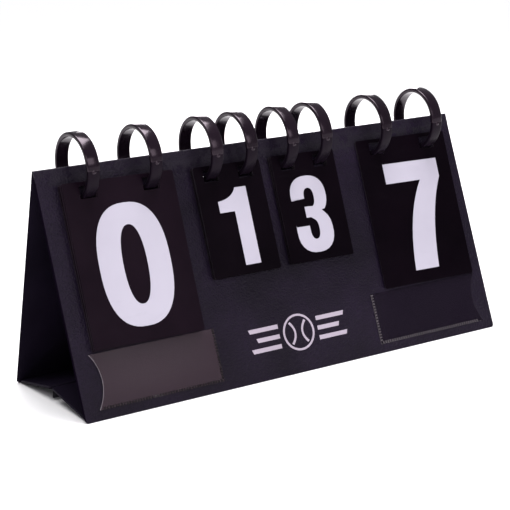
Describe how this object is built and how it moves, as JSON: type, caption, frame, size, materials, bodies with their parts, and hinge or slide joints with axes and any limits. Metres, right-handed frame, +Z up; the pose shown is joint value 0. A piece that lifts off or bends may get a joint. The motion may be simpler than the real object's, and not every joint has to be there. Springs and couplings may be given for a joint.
{
  "type": "flip score board",
  "caption": "Folding tabletop flip score board: a leatherette tent on a two-leaf base, with digit cards that turn over on flat plastic rings, and clear name pockets.",
  "frame": {"origin": "on the floor, at the middle of the footprint and midway between the two feet", "axes": "+X to the viewer's right along the board, +Y from the front towards the back, +Z up"},
  "size_m": [0.385, 0.124, 0.2012],
  "materials": {
    "leatherette": "fine grained black leatherette with a faint violet cast",
    "lining": "matt black lining",
    "ring_plastic": "moulded satin black plastic",
    "card_vinyl": "black vinyl card with white printed digits",
    "clear_vinyl": "clear flexible vinyl with ribbed welds",
    "hook_tape": "black hook tape",
    "loop_tape": "black loop tape"
  },
  "bodies": {
    "front_body": {"front_panel": "leatherette", "spine": "leatherette", "left_name_pocket": "clear_vinyl", "right_name_pocket": "clear_vinyl", "ring_1": "ring_plastic", "ring_2": "ring_plastic", "ring_3": "ring_plastic", "ring_4": "ring_plastic", "ring_5": "ring_plastic", "ring_6": "ring_plastic", "ring_7": "ring_plastic", "ring_8": "ring_plastic", "left_large_card_1": "card_vinyl", "left_large_card_2": "card_vinyl", "left_large_card_3": "card_vinyl", "left_large_card_4": "card_vinyl", "left_large_card_5": "card_vinyl", "left_large_card_6": "card_vinyl", "left_large_card_7": "card_vinyl", "left_large_card_8": "card_vinyl", "left_large_card_9": "card_vinyl", "left_small_card_2": "card_vinyl", "left_small_card_3": "card_vinyl", "left_small_card_4": "card_vinyl", "left_small_card_5": "card_vinyl", "left_small_card_6": "card_vinyl", "left_small_card_7": "card_vinyl", "left_small_card_8": "card_vinyl", "left_small_card_9": "card_vinyl", "right_small_card_4": "card_vinyl", "right_small_card_5": "card_vinyl", "right_small_card_6": "card_vinyl", "right_small_card_7": "card_vinyl", "right_small_card_8": "card_vinyl", "right_small_card_9": "card_vinyl", "right_large_card_8": "card_vinyl", "right_large_card_9": "card_vinyl"},
    "back_body": {"back_panel": "leatherette", "left_small_card_0": "card_vinyl", "right_small_card_0": "card_vinyl", "right_small_card_1": "card_vinyl", "right_small_card_2": "card_vinyl", "right_large_card_0": "card_vinyl", "right_large_card_1": "card_vinyl", "right_large_card_2": "card_vinyl", "right_large_card_3": "card_vinyl", "right_large_card_4": "card_vinyl", "right_large_card_5": "card_vinyl", "right_large_card_6": "card_vinyl"},
    "front_leaf_body": {"front_base_leaf": "lining", "loop_strip": "loop_tape"},
    "rear_leaf_body": {"rear_base_leaf": "lining"},
    "closing_tab_body": {"closing_tab": "lining", "hook_strip": "hook_tape"},
    "left_large_top_card": {"left_large_card_0": "card_vinyl"},
    "left_small_top_card": {"left_small_card_1": "card_vinyl"},
    "right_small_top_card": {"right_small_card_3": "card_vinyl"},
    "right_large_top_card": {"right_large_card_7": "card_vinyl"}
  },
  "joints": [
    {"name": "frame_fold", "type": "hinge", "parent": "front_body", "child": "back_body", "pos_m": [0, 0, 0.17005], "axis": [-1, 0, 0], "range_deg": [0, 20]},
    {"name": "front_leaf_fold", "type": "hinge", "parent": "front_body", "child": "front_leaf_body", "pos_m": [0, -0.05781, 0.0027], "axis": [1, 0, 0], "range_deg": [0, 60]},
    {"name": "rear_leaf_fold", "type": "hinge", "parent": "back_body", "child": "rear_leaf_body", "pos_m": [0, 0.05781, 0.0027], "axis": [-1, 0, 0], "range_deg": [0, 32]},
    {"name": "tab_swing", "type": "hinge", "parent": "rear_leaf_body", "child": "closing_tab_body", "pos_m": [0, 0.00255, 0.00897], "axis": [-1, 0, 0], "range_deg": [-60, 60]},
    {"name": "left_large_flip", "type": "hinge", "parent": "front_body", "child": "left_large_top_card", "pos_m": [-0.131, 0, 0.17807], "axis": [-1, 0, 0], "range_deg": [0, 293]},
    {"name": "left_small_flip", "type": "hinge", "parent": "front_body", "child": "left_small_top_card", "pos_m": [-0.0353, 0, 0.17807], "axis": [-1, 0, 0], "range_deg": [0, 293]},
    {"name": "right_small_flip", "type": "hinge", "parent": "front_body", "child": "right_small_top_card", "pos_m": [0.0353, 0, 0.17807], "axis": [-1, 0, 0], "range_deg": [0, 293]},
    {"name": "right_large_flip", "type": "hinge", "parent": "front_body", "child": "right_large_top_card", "pos_m": [0.1355, 0, 0.17807], "axis": [-1, 0, 0], "range_deg": [0, 293]}
  ],
  "couplings": [
    {"joint": "front_leaf_fold", "follows": "frame_fold", "ratio": 3},
    {"joint": "rear_leaf_fold", "follows": "frame_fold", "ratio": 1.6}
  ]
}
